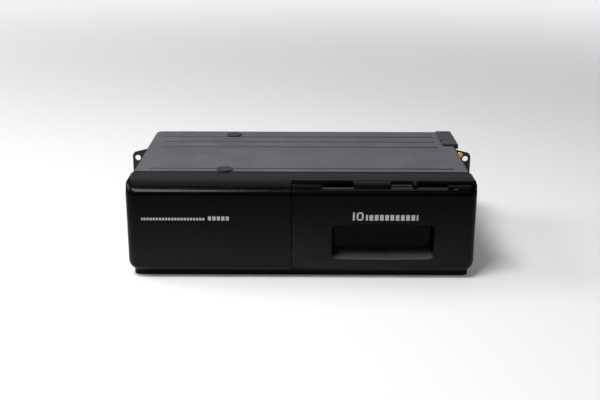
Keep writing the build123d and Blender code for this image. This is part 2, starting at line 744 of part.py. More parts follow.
# ---------------------------------------------------------------- lift cams and gears
lift_gear_x = -46.0
rack_set = 7.5
rack_pitch_y = tray_front - rack_set
lift_gear_y = rack_pitch_y - gear_module * lift_pinion_teeth / 2
rack_z = 15.0
gear_floor = frame_top + 0.5
shelf_top = rack_z - 0.7
shelf_sheet = 1.2
lift_pinion_height = 2.0
lift_wheel_height = 2.2
motor_x = lift_gear_x - gear_module * (lift_wheel_teeth + motor_pinion_teeth) / 2


def cam_profile(y0, y1):
    """An upright plate with one sloping slot that lifts the table's pin as the plate moves left."""
    left = cam_pin_x - cam_margin
    right = cam_pin_x + cam_travel + cam_margin
    low = gear_floor
    high = guide_pin_z + lift_travel + cam_margin
    plate = block(left, right, y0, y1, low, high)
    reach = guide_pin_radius + guide_pin_play
    foot = (cam_pin_x, guide_pin_z)
    head = (cam_pin_x + cam_travel, guide_pin_z + lift_travel)
    length = math.hypot(cam_travel, lift_travel)
    nx = -lift_travel / length * reach
    nz = cam_travel / length * reach
    corners = [(foot[0] + nx, foot[1] + nz), (head[0] + nx, head[1] + nz),
               (head[0] - nx, head[1] - nz), (foot[0] - nx, foot[1] - nz)]
    face = Plane(origin=(0, y1 + 1, 0), x_dir=(1, 0, 0), z_dir=(0, -1, 0))
    slope = extrude(face * make_face(Polyline(*corners, close=True)), y1 - y0 + 2)
    ends = rod_y(y0 - 1, y1 + 1, foot[0], foot[1], reach) + rod_y(y0 - 1, y1 + 1, head[0], head[1], reach)
    corner_cut = [(left - 1, high + 1), (left - 1, low + 22), (left + 8, low + 22), (cam_pin_x + cam_travel - 12, high + 1)]
    cut = extrude(face * make_face(Polyline(*corner_cut, close=True)), y1 - y0 + 2)
    return plate - slope - ends - cut


front_cam_y = lift_wall_front - cam_gap - cam_sheet
rear_cam_y = lift_wall_rear + wall_sheet + cam_gap


def lift_cam_front():
    """Front cam plate with a toothed foot that the lift gear drives."""
    plate = cam_profile(front_cam_y, front_cam_y + cam_sheet)
    root_y = rack_pitch_y + gear_dedendum * gear_module
    pitch = math.pi * gear_module
    count = round((cam_travel + 6) / pitch) + 1
    first = lift_gear_x - 2 * pitch + pitch / 2
    left = first - pitch
    right = first + count * pitch
    foot = block(left, right, root_y, front_cam_y + cam_sheet, rack_z, rack_z + lift_pinion_height - 0.2)
    cam = plate + foot
    for tooth in rack_teeth(first, count, rack_pitch_y, -1, rack_z, rack_z + lift_pinion_height - 0.2):
        cam = cam + tooth
    return cam


def lift_cam_rear():
    """Rear cam plate."""
    return cam_profile(rear_cam_y, rear_cam_y + cam_sheet)


def lift_gear():
    """Compound gear: a pinion on the front cam's rack under a wheel driven by the motor."""
    place = Pos(lift_gear_x, lift_gear_y, rack_z)
    pinion = place * involute_gear(lift_pinion_teeth, lift_pinion_height + 0.2, 90.0)
    wheel_z = lift_pinion_height + 0.2
    wheel = place * Pos(0, 0, wheel_z) * involute_gear(lift_wheel_teeth, lift_wheel_height)
    bore = rod_z(rack_z - 1, rack_z + 10, lift_gear_x, lift_gear_y, 1.0 + pin_clearance)
    return pinion + wheel - bore


def motor_pinion():
    """Pinion on the lift motor's shaft."""
    place = Pos(motor_x, lift_gear_y, rack_z + lift_pinion_height + 0.2)
    pinion = place * involute_gear(motor_pinion_teeth, lift_wheel_height, 180.0 / motor_pinion_teeth)
    shaft_low = rack_z + lift_pinion_height + 0.2
    shaft = rod_z(shaft_low - 1.0, shaft_low + lift_wheel_height + 1.5, motor_x, lift_gear_y, 0.8)
    return pinion + shaft


def lift_motor():
    """Upright can motor over its pinion, on a foot that stands on the frame's shelf."""
    low = rack_z + lift_pinion_height + 0.2 + lift_wheel_height + 0.5
    can = rod_z(low, low + 20, motor_x, lift_gear_y, 5.6)
    can = fillet(can.edges().group_by(Axis.Z)[-1], 1.0)
    can = can - rod_z(low - 1, low + 2, motor_x, lift_gear_y, 0.9)
    foot = block(motor_x - 12, motor_x - 6.5, lift_gear_y - 4, lift_gear_y + 2.7, shelf_top + 0.05, low + 1)
    arm = block(motor_x - 12, motor_x - 4, lift_gear_y - 4, lift_gear_y + 2.7, low, low + 1)
    return can + foot + arm


# ---------------------------------------------------------------- lift table and drive
def lift_table():
    """Lifting drive chassis with guide pins front and rear, rod carriers and the clamp's pivot ears."""
    front = tray_front - wall_gap + 0.4
    rear = tray_front + tray_width + wall_gap - 0.4
    table = rounded_plate(table_left + 1, table_right, front, rear, table_bottom, table_top, 4)
    reach = sled_inner + sled_travel
    table = table - block(spindle_x - reach + 4, spindle_x - sled_inner, disc_y - 10, disc_y + 10, 0, 10)
    for x in (outer_pin_x, inner_pin_x, cam_pin_x):
        for edge, outer in ((front, lift_wall_front - 0.1), (rear, lift_wall_rear + wall_sheet + 0.1)):
            engaged = x == cam_pin_x
            extra = (cam_gap + cam_sheet) if engaged else 0
            end = outer - extra if outer < disc_y else outer + extra
            inner_end = edge + 4 if outer < disc_y else edge - 4
            low, high = min(end, inner_end), max(end, inner_end)
            pin = rod_y(low, high, x, guide_pin_z, guide_pin_radius)
            lug_low = min(inner_end, edge)
            lug_high = max(inner_end, edge)
            lug = block(x - 3, x + 3, lug_low, lug_high, table_bottom, guide_pin_z + 2.0)
            table = table + lug + pin
    for x0, x1 in rod_carriers():
        for side in (-1, 1):
            y = disc_y + side * sled_rod_spacing / 2
            carrier = block(x0, x1, y - 2.3, y + 2.3, table_bottom, sled_rod_z + 2.2)
            table = table + carrier - rod_x(x0 - 1, x1 + 1, y, sled_rod_z, sled_rod_radius)
    for side in (-1, 1):
        y = disc_y + side * clamp_ear_spacing / 2
        ear = block(table_left, table_left + 2.4, y - 1, y + 1, table_bottom, clamp_pivot_z + 1.5)
        table = table + ear - rod_y(y - 2, y + 2, clamp_pivot_x, clamp_pivot_z, clamp_pin_radius)
    rail = block(-118.0, -12.0, shuttle_y - 0.8, shuttle_y + 0.8, table_bottom, table_top + 2.0)
    return table + rail


clamp_ear_spacing = 24.0
clamp_pin_radius = 0.7
shuttle_y = tray_front + 8.0
shuttle_travel = 92.0


def rod_carriers():
    """X ranges of the blocks that hold the sled rods."""
    return ((table_left + 0.2, table_left + 2.2), (spindle_x - 10.0, spindle_x - 7.6))


def sled_rods():
    """Two ground rods that the sled runs on."""
    left = rod_carriers()[0][0]
    right = rod_carriers()[1][1]
    rods = []
    for side in (-1, 1):
        rods.append(rod_x(left, right, disc_y + side * sled_rod_spacing / 2, sled_rod_z, sled_rod_radius))
    return Compound(children=rods)


def spindle_motor():
    """Flat spindle motor on the table."""
    low = table_top + 0.02
    motor = rod_z(low, low + 3.6, spindle_x, disc_y, spindle_motor_radius - 2.0)
    motor = motor + rod_z(low, low + 0.8, spindle_x, disc_y, spindle_motor_radius - 1.2)
    motor = motor + rod_z(low + 3.6, low + 4.4, spindle_x, disc_y, 2.5)
    return motor - rod_z(low + 1, low + 10, spindle_x, disc_y, 1.0 + pin_clearance)


def turntable():
    """Turntable with its centring cone and the shaft that runs in the motor."""
    plate = rod_z(seat_z - 2.0, seat_z, spindle_x, disc_y, turntable_radius)
    cone = Pos(spindle_x, disc_y, seat_z + 0.6) * Cone(7.4, 6.2, 1.2)
    shaft = rod_z(table_top + 1.5, seat_z - 1.0, spindle_x, disc_y, 1.0)
    return plate + cone + shaft


lens_x = spindle_x - sled_inner
sled_left = lens_x - 3.0
sled_right = lens_x + 12.5
sled_gear_x = lens_x + 4.0
sled_rack_y = disc_y + sled_rod_spacing / 2 + 5.5


def pickup_sled():
    """Pickup body on the rods, with a rack along its rear edge."""
    half = sled_rod_spacing / 2
    low = sled_rod_z - 2.0
    high = sled_rod_z + 2.0
    body = block(sled_left, sled_right, disc_y - half + 2.5, disc_y + half - 2.5, low, high)
    body = body + block(sled_left + 1, sled_right - 3, disc_y - half - 3, disc_y + half + 3, low, high)
    pitch = math.pi * gear_module
    root_y = sled_rack_y - gear_dedendum * gear_module
    count = round((sled_travel + 5) / pitch) + 1
    first = sled_gear_x - pitch / 2 - pitch
    bar = block(first - pitch, first + count * pitch, root_y - 2.0, root_y, low + 0.4, low + 2.4)
    body = body + bar
    for tooth in rack_teeth(first, count, sled_rack_y, 1, low + 0.4, low + 2.4):
        body = body + tooth
    for side in (-1, 1):
        y = disc_y + side * half
        body = body - rod_x(sled_left - 1, sled_right + 60, y, sled_rod_z, sled_rod_radius + pin_clearance)
    return body


def pickup_lens():
    """Objective lens in its ring, on top of the sled."""
    base = sled_rod_z + 2.02
    ring = rod_z(base, base + 0.9, lens_x + 2.5, disc_y, 4.2)
    dome = Pos(lens_x + 2.5, disc_y, base + 0.9 - 3.2) * Sphere(3.8)
    dome = dome & rod_z(base + 0.5, base + 2, lens_x + 2.5, disc_y, 2.4)
    return ring + dome


def sled_gear():
    """Gear on the sled motor's shaft, in mesh with the sled's rack."""
    y = sled_rack_y + gear_module * sled_gear_teeth / 2
    place = Pos(sled_gear_x, y, sled_rod_z - 1.8)
    gear = place * involute_gear(sled_gear_teeth, 2.4, -90.0 + 0.0)
    return gear - rod_z(0, 20, sled_gear_x, y, 0.8 + pin_clearance)


def sled_motor():
    """Flat sled motor under its gear."""
    y = sled_rack_y + gear_module * sled_gear_teeth / 2
    can = rod_z(table_top + 0.02, sled_rod_z - 2.0, sled_gear_x, y, 5.0)
    return can + rod_z(sled_rod_z - 2.1, sled_rod_z + 1.2, sled_gear_x, y, 0.8)


def clamp_arm():
    """Sheet arm from its pivot at the left over the turntable, with its pivot pin."""
    start = table_left + 0.3
    half_root = clamp_ear_spacing / 2 - 1.6
    outline = [(start, disc_y - half_root), (spindle_x - 6, disc_y - 9), (spindle_x + 8, disc_y - 9),
               (spindle_x + 8, disc_y + 9), (spindle_x - 6, disc_y + 9), (start, disc_y + half_root)]
    arm = extrude(Pos(0, 0, clamp_plate_z) * make_face(Polyline(*outline, close=True)), clamp_sheet)
    for side in (-1, 1):
        y = disc_y + side * (half_root - 0.5)
        arm = arm + block(start, start + 2.2, y - 0.5, y + 0.5, clamp_pivot_z - 1.2, clamp_plate_z + 0.2)
    reach = clamp_ear_spacing / 2 + 1
    return arm + rod_y(disc_y - reach, disc_y + reach, clamp_pivot_x, clamp_pivot_z, clamp_pin_radius - pin_clearance)


def clamp_puck():
    """Clamp puck under the arm's free end."""
    puck = rod_z(seat_z + 1.4, clamp_plate_z - 0.02, spindle_x, disc_y, turntable_radius - 1)
    return puck - rod_z(seat_z, clamp_plate_z + 1, spindle_x, disc_y, 7.8)


def tray_shuttle():
    """Carriage on the table's rail, with the finger that hooks a tray."""
    body = block(-27.0, -13.0, shuttle_y - 4.0, shuttle_y + 4.0, table_top + 0.3, table_top + 5.0)
    body = body - block(-30.0, -10.0, shuttle_y - 0.95, shuttle_y + 0.95, table_top - 1, table_top + 2.2)
    finger = block(-16.5, -13.0, shuttle_y - 8.2, shuttle_y - 3.0, table_top + 4.5, table_top + 10.0)
    return body + finger


# ---------------------------------------------------------------- electronics
board_z = 6.6
board_sheet = 1.6
socket_x = 84.0
socket_z = 44.0
socket_radius = 7.5


def board_posts():
    """X and Y of the posts under the main board."""
    return [(14.0, -38.0), (94.0, -38.0), (14.0, 52.0), (94.0, 52.0)]


def main_board():
    """Main circuit board under the magazine."""
    board = rounded_plate(8, 100, -44, 58, board_z, board_z + board_sheet, 2)
    for x, y in board_posts():
        board = board - rod_z(board_z - 1, board_z + 5, x, y, 1.2)
    return board


def board_parts():
    """Chips, capacitors and plugs on the main board."""
    top = board_z + board_sheet + 0.02
    parts = [block(24, 44, -20, 0, top, top + 2.2), block(56, 68, -24, -12, top, top + 1.8),
             block(30, 52, 24, 34, top, top + 2.0), block(74, 92, 8, 14, top, top + 5.0)]
    for x, y in ((62, 34), (70, 34), (78, 34), (60, 6)):
        can = rod_z(top, top + 4.6, x, y, 2.5)
        parts.append(can)
    return Compound(children=parts)


def bus_socket():
    """Round multi-pin socket in the rear wall, with a flange outside and a body inside."""
    flange = rod_y(pan_rear + 0.02, rear_y, socket_x, socket_z, socket_radius + 2.5)
    barrel = rod_y(pan_rear - pan_sheet - 1.6, rear_y, socket_x, socket_z, socket_radius)
    socket = flange + barrel
    ring = rod_y(rear_y - 1.6, rear_y + 1, socket_x, socket_z, socket_radius - 1)
    island = rod_y(rear_y - 1.7, rear_y - 0.4, socket_x, socket_z, socket_radius - 2.2)
    socket = socket - ring + island
    for index in range(8):
        angle = math.radians(45 + index * 270 / 7 - 135 + 135)
        x = socket_x + 3.4 * math.cos(angle)
        z = socket_z + 3.4 * math.sin(angle)
        socket = socket - rod_y(rear_y - 1.2, rear_y + 1, x, z, 0.5)
    return socket


# ---------------------------------------------------------------- all sub-parts
os.makedirs("parts", exist_ok=True)
write("top_cover", top_cover())
write("bottom_pan", bottom_pan())
write("cover_screws", cover_screws())
write("transit_caps", transit_caps())
write("corner_plate", corner_plate())
write("corner_screw", corner_screw())
right_bracket = side_bracket()
write("side_bracket_right", right_bracket)
write("side_bracket_left", mirrored(right_bracket))
write("bracket_screws", bracket_screws())
write("earth_screw", earth_screw())
right_dial = angle_dial()
write("angle_dial_right", right_dial)
write("angle_dial_left", mirrored(right_dial))
write("fascia", fascia())
write("door", door())
write("hinge_pin", hinge_pin())
write("door_spring", door_spring())
write("magazine_case", magazine_case())
for number in range(tray_count):
    write(f"disc_tray_{number + 1:02d}", disc_tray(number))
write("magazine_holder", magazine_holder())
write("eject_button", eject_button())
write("mechanism_frame", mechanism_frame())
write("vibration_dampers", vibration_dampers())
write("lift_cam_front", lift_cam_front())
write("lift_cam_rear", lift_cam_rear())
write("lift_gear", lift_gear())
write("motor_pinion", motor_pinion())
write("lift_motor", lift_motor())
write("lift_table", lift_table())
write("sled_rods", sled_rods())
write("spindle_motor", spindle_motor())
write("turntable", turntable())
write("pickup_sled", pickup_sled())
write("pickup_lens", pickup_lens())
write("sled_gear", sled_gear())
write("sled_motor", sled_motor())
write("clamp_arm", clamp_arm())
write("clamp_puck", clamp_puck())
write("tray_shuttle", tray_shuttle())
write("main_board", main_board())
write("board_parts", board_parts())
write("bus_socket", bus_socket())
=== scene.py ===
"""Looks of the car CD changer: materials, light, camera and the fine pieces around the fixed frame."""

import json
import math

import bmesh
import bpy
import numpy as np
from mathutils import Matrix, Vector


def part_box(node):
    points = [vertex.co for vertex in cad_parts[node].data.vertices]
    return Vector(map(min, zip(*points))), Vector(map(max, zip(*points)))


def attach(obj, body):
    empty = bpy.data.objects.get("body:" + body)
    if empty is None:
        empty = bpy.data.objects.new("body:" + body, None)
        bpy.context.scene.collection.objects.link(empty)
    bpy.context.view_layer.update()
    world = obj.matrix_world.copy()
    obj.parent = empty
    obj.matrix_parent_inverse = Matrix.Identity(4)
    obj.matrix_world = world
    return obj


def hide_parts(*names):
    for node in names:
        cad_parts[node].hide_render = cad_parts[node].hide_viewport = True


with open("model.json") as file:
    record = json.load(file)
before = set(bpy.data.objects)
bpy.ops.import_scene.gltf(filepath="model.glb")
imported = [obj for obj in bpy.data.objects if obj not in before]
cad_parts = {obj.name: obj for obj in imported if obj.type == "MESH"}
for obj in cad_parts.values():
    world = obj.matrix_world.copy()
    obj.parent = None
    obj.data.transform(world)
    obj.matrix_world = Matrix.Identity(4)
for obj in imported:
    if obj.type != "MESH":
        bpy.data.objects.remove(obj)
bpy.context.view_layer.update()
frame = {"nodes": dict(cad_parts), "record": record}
MM = 0.001
FRONT_LOW, FRONT_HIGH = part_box("fascia")


# ---------------------------------------------------------------- shader helpers
FLOAT, COLOR = "NodeSocketFloat", "NodeSocketColor"
BLACK = (0, 0, 0, 1)


def feed(tree, made, inputs):
    """Each named input of a node takes a value, or a link from the socket that is given."""
    for name, value in inputs.items():
        if isinstance(value, bpy.types.NodeSocket):
            tree.links.new(value, made.inputs[name])
        else:
            made.inputs[name].default_value = value


def node(tree, kind, inputs=None, **settings):
    """A node with its properties set and its inputs fed."""
    made = tree.nodes.new(kind)
    for key, value in settings.items():
        setattr(made, key, value)
    feed(tree, made, inputs or {})
    return made


def calc(tree, operation, *values, **settings):
    """The result of a Math node on values or sockets."""
    return node(tree, "ShaderNodeMath", dict(enumerate(values)), operation=operation, **settings).outputs[0]


def remap(tree, value, low, high, to_low=0.0, to_high=1.0, **settings):
    """A value between low and high carried to another range, and held at its ends."""
    inputs = {"Value": value, "From Min": low, "From Max": high, "To Min": to_low, "To Max": to_high}
    return node(tree, "ShaderNodeMapRange", inputs, **settings).outputs["Result"]


def mix(tree, share, first, second, **settings):
    """Two colours mixed by a share. Sockets 6 and 7 of the Mix node are its colours, and 2 is the result."""
    inputs = {0: share, 6: first, 7: second}
    return node(tree, "ShaderNodeMix", inputs=inputs, data_type="RGBA", **settings).outputs[2]


def noise(tree, place, scale, detail=2.0, roughness=0.5):
    """A noise texture's value at a place."""
    inputs = {"Vector": place, "Scale": scale, "Detail": detail, "Roughness": roughness}
    return node(tree, "ShaderNodeTexNoise", inputs).outputs["Fac"]


def object_place(tree):
    """The place in Object space."""
    return node(tree, "ShaderNodeTexCoord").outputs["Object"]


def split(tree, vector):
    """The outputs X, Y and Z of a vector."""
    return node(tree, "ShaderNodeSeparateXYZ", {0: vector}).outputs


def facing_up(tree):
    """1 on a level face that looks up, 0 on an upright one, -1 on one that looks down."""
    return split(tree, node(tree, "ShaderNodeNewGeometry").outputs["Normal"])["Z"]


def within(tree, value, low, high):
    """1 where a value lies between two numbers, else 0."""
    return calc(tree, "COMPARE", value, (low + high) / 2, (high - low) / 2)


def group(name, inputs, outputs):
    """An empty shader group with named inputs and outputs."""
    tree = bpy.data.node_groups.new(name, "ShaderNodeTree")
    for label, kind, value in inputs:
        made = tree.interface.new_socket(label, in_out="INPUT", socket_type=kind)
        made.default_value = value
    for label, kind in outputs:
        tree.interface.new_socket(label, in_out="OUTPUT", socket_type=kind)
    return tree, tree.nodes.new("NodeGroupInput").outputs, tree.nodes.new("NodeGroupOutput")


# ---------------------------------------------------------------- shader groups
GRAINS_PER_METRE = 1000.0
COARSE_SCALE, COARSE_SHARE = 0.22, 0.3
NOISE_LOW, NOISE_HIGH = 0.3, 0.7
CLOUD_SCALE, SPECK_SCALE, PAINTED_LIGHT_BLOTCH_SCALE = 26.0, 900.0, 140.0
CLOUD_GLOSS = 0.35
DUST_COLOR = (0.30, 0.29, 0.27, 1)
STREAK_SCALE = (40.0, 1600.0, 1600.0)
# painted light on the shell's black front: a paler floor low in the recess, painted bounce light that grows down
# the outer front, and a painted sheen on the band's level top
PAINTED_FLOOR_LIGHT_TOP = 0.03
PAINTED_BOUNCE_TOP, PAINTED_BOUNCE_FLOOR, PAINTED_BOUNCE_POWER = 0.066, 0.004, 1.6
PAINTED_BOUNCE_REACH = 4 * MM
LEVEL_FROM, PAINTED_SHEEN_GAIN = 0.955, 1.6
# painted shade in the cover's pressed beads
GROOVE_DEPTH, GROOVE_REACH, GROOVE_TONE = 0.0002, 0.0013, 0.06
INK = (0.36, 0.36, 0.37, 1)
PRINT_REACH = 0.4 * MM
DASH_SHARE = 0.7
# left, right, low, high and period of each row of dashes, and the edges of the number's boxes, in mm
DASH_ROWS = ((-119, -72, 46.9, 48.8, 2.3), (-70, -53, 46.9, 50.0, 3.3), (48, 87, 47.2, 51.6, 3.9))
NUMBER_BOXES = ((38.4, 39.8, 47.2, 53.6), (41.2, 42.5, 48.2, 52.6), (45.0, 46.3, 48.2, 52.6),
                (42.0, 45.5, 47.2, 48.4), (42.0, 45.5, 52.4, 53.6))


def make_grain():
    """Moulded or sprayed grain: two sizes of noise as a bump height. Size is a grain's width in mm."""
    tree, into, out = group("surface_grain", [("Size", FLOAT, 1.0)], [("Height", FLOAT)])
    place = object_place(tree)
    scale = calc(tree, "DIVIDE", GRAINS_PER_METRE, into["Size"])
    fine = noise(tree, place, scale, detail=3.0, roughness=0.6)
    coarse = noise(tree, place, calc(tree, "MULTIPLY", scale, COARSE_SCALE))
    both = node(tree, "ShaderNodeMix", data_type="FLOAT", inputs={0: COARSE_SHARE, 2: fine, 3: coarse})
    feed(tree, out, {"Height": both.outputs[0]})
    return tree


def make_patina():
    """Uneven colour and gloss: broad clouds, and specks of dust on faces that look up."""
    tree, into, out = group("patina", [("Color", COLOR, BLACK), ("Roughness", FLOAT, 0.5), ("Clouds", FLOAT, 0.1),
                                       ("Dust", FLOAT, 0.05)], [("Color", COLOR), ("Roughness", FLOAT)])
    place = object_place(tree)
    clouds = noise(tree, place, CLOUD_SCALE, detail=5.0, roughness=0.65)
    specks = noise(tree, place, SPECK_SCALE, detail=1.0)
    amount = calc(tree, "MULTIPLY", remap(tree, clouds, NOISE_LOW, NOISE_HIGH, -0.5, 0.5), into["Clouds"])
    gain = calc(tree, "ADD", amount, 1.0)
    toned = node(tree, "ShaderNodeVectorMath", operation="SCALE", inputs={0: into["Color"], "Scale": gain})
    upward = remap(tree, facing_up(tree), 0.5, 1.0)
    dust_and_painted_light = calc(tree, "MULTIPLY", upward, remap(tree, specks, 0.45, 0.75))
    dusty = mix(tree, calc(tree, "MULTIPLY", dust_and_painted_light, into["Dust"]), toned.outputs[0], DUST_COLOR)
    rough = calc(tree, "MULTIPLY_ADD", amount, CLOUD_GLOSS, into["Roughness"])
    feed(tree, out, {"Color": dusty, "Roughness": rough})
    return tree


def make_streaks():
    """Fine streaks along X, as rolled or drawn metal has, as a bump height."""
    tree, _, out = group("drawn_streaks", [], [("Height", FLOAT)])
    stretch = node(tree, "ShaderNodeMapping", vector_type="POINT",
                   inputs={"Vector": object_place(tree), "Scale": STREAK_SCALE})
    feed(tree, out, {"Height": noise(tree, stretch.outputs[0], 1.0)})
    return tree


def make_painted_front_light():
    """Painted light on the black front: a paler recess floor, painted bounce light and a painted sheen.

    Low faces that look up, such as the recess's floor, turn to a paler colour, painted light that is uneven in
    blotches.
    A second colour is added to the colour: painted bounce light that grows downwards on the outer front, and a
    painted sheen on the level faces of the band above.
    """
    tree, into, out = group("painted_front_light", [("Color", COLOR, BLACK), ("Painted_Floor_Light", COLOR, BLACK),
                                              ("Painted_Bounce_And_Sheen", COLOR, BLACK)], [("Color", COLOR)])
    place = object_place(tree)
    height, behind = split(tree, place)["Z"], split(tree, place)["Y"]
    normal = facing_up(tree)
    # painted light: low faces that look up, as the recess floor, turn paler
    low_floor = calc(tree, "MULTIPLY", remap(tree, normal, 0.2, 0.9), calc(tree, "LESS_THAN", height, PAINTED_FLOOR_LIGHT_TOP))
    painted_light_blotches = remap(tree, noise(tree, place, PAINTED_LIGHT_BLOTCH_SCALE, detail=4.0), NOISE_LOW, NOISE_HIGH, 0.75, 1.0)
    painted_floor_lit = mix(tree, calc(tree, "MULTIPLY", painted_light_blotches, low_floor), into["Color"], into["Painted_Floor_Light"])
    # painted bounce light, growing downwards on the outer front, and a painted sheen on the band's level top
    lower = calc(tree, "POWER", remap(tree, height, PAINTED_BOUNCE_TOP, PAINTED_BOUNCE_FLOOR), PAINTED_BOUNCE_POWER)
    outer = calc(tree, "LESS_THAN", behind, FRONT_LOW.y + PAINTED_BOUNCE_REACH)
    level = remap(tree, normal, LEVEL_FROM, 1.0, 0.0, PAINTED_SHEEN_GAIN)
    on_top = calc(tree, "MULTIPLY", calc(tree, "GREATER_THAN", height, PAINTED_BOUNCE_TOP), level)
    share = calc(tree, "ADD", calc(tree, "MULTIPLY", lower, outer), on_top, use_clamp=True)
    feed(tree, out, {"Color": mix(tree, share, painted_floor_lit, into["Painted_Bounce_And_Sheen"], blend_type="ADD")})
    return tree


def make_groove_painted_shade():
    """Painted shade in the pressed beads: darker just under the sheet's top plane."""
    tree, into, out = group("groove_painted_shade", [("Color", COLOR, BLACK), ("Top", FLOAT, 0.077)], [("Color", COLOR)])
    under = calc(tree, "SUBTRACT", into["Top"], split(tree, object_place(tree))["Z"])
    deep = calc(tree, "DIVIDE", under, GROOVE_DEPTH, use_clamp=True)
    share = calc(tree, "MULTIPLY", deep, calc(tree, "LESS_THAN", under, GROOVE_REACH))
    kept = remap(tree, share, 0.0, 1.0, 1.0, GROOVE_TONE)
    feed(tree, out, {"Color": mix(tree, 1.0, into["Color"], kept, blend_type="MULTIPLY")})
    return tree


def make_print_marks():
    """Plain pale print on the front: rows of even dashes and a 10, as boxes in X and Z."""
    tree, into, out = group("print_marks", [("Color", COLOR, BLACK)], [("Color", COLOR)])
    place = split(tree, object_place(tree))

    def box(left, right, low, high):
        return calc(tree, "MULTIPLY", within(tree, place["X"], left * MM, right * MM),
                    within(tree, place["Z"], low * MM, high * MM))

    shapes = []
    for *edges, period in DASH_ROWS:
        step = calc(tree, "FRACT", calc(tree, "DIVIDE", place["X"], period * MM))
        shapes.append(calc(tree, "MULTIPLY", box(*edges), within(tree, step, 0.0, DASH_SHARE)))
    shapes += [box(*edges) for edges in NUMBER_BOXES]
    shown = shapes[0]
    for shape in shapes[1:]:
        shown = calc(tree, "MAXIMUM", shown, shape)
    share = calc(tree, "MULTIPLY", shown, calc(tree, "LESS_THAN", place["Y"], FRONT_LOW.y + PRINT_REACH))
    feed(tree, out, {"Color": mix(tree, share, into["Color"], INK)})
    return tree


GRAIN, PATINA, STREAKS = make_grain(), make_patina(), make_streaks()
PAINTED_FRONT_LIGHT, GROOVES, MARKS = make_painted_front_light(), make_groove_painted_shade(), make_print_marks()


# ---------------------------------------------------------------- materials
def finish_of(name, color, roughness, metallic=0.0, size=0.6, depth=0.02, clouds=0.15, dust=0.03, specular=0.5,
              streaks=False, coat=0.0, dust_and_painted_light=None, painted_bounce_and_sheen=(0, 0, 0), sheet_top=None):
    """A procedural material: patina into colour and roughness, grain or streaks into the normal.

    Grain size and bump depth are in mm. A colour for the painted light on the recess floor brings the painted
    bounce light and sheen and the print with it, and a sheet's top in metres brings painted shade in its beads.
    """
    material = bpy.data.materials.new(name)
    material.use_nodes = True
    tree = material.node_tree
    patina = node(tree, "ShaderNodeGroup", node_tree=PATINA,
                  inputs={"Color": (*color, 1), "Roughness": roughness, "Clouds": clouds, "Dust": dust})
    if streaks:
        relief = node(tree, "ShaderNodeGroup", node_tree=STREAKS)
    else:
        relief = node(tree, "ShaderNodeGroup", node_tree=GRAIN, inputs={"Size": size})
    bump = node(tree, "ShaderNodeBump",
                {"Strength": 1.0, "Distance": depth * MM, "Height": relief.outputs["Height"]})
    toned = patina.outputs["Color"]
    # painted light on the front: a paler recess floor, painted bounce light and a painted sheen
    if dust_and_painted_light:
        painted_front = node(tree, "ShaderNodeGroup", node_tree=PAINTED_FRONT_LIGHT,
                       inputs={"Color": toned, "Painted_Floor_Light": (*dust_and_painted_light, 1), "Painted_Bounce_And_Sheen": (*painted_bounce_and_sheen, 1)})
        marks = node(tree, "ShaderNodeGroup", node_tree=MARKS, inputs={"Color": painted_front.outputs["Color"]})
        toned = marks.outputs["Color"]
    # painted shade darkens the beads of a pressed sheet
    if sheet_top:
        grooves = node(tree, "ShaderNodeGroup", node_tree=GROOVES, inputs={"Color": toned, "Top": sheet_top})
        toned = grooves.outputs["Color"]
    shader = tree.nodes["Principled BSDF"]
    if coat:
        feed(tree, shader, {"Coat Weight": coat, "Coat Roughness": 0.1})
    feed(tree, shader, {"Metallic": metallic, "Specular IOR Level": specular, "Normal": bump.outputs["Normal"],
                        "Base Color": toned, "Roughness": patina.outputs["Roughness"]})
    return material


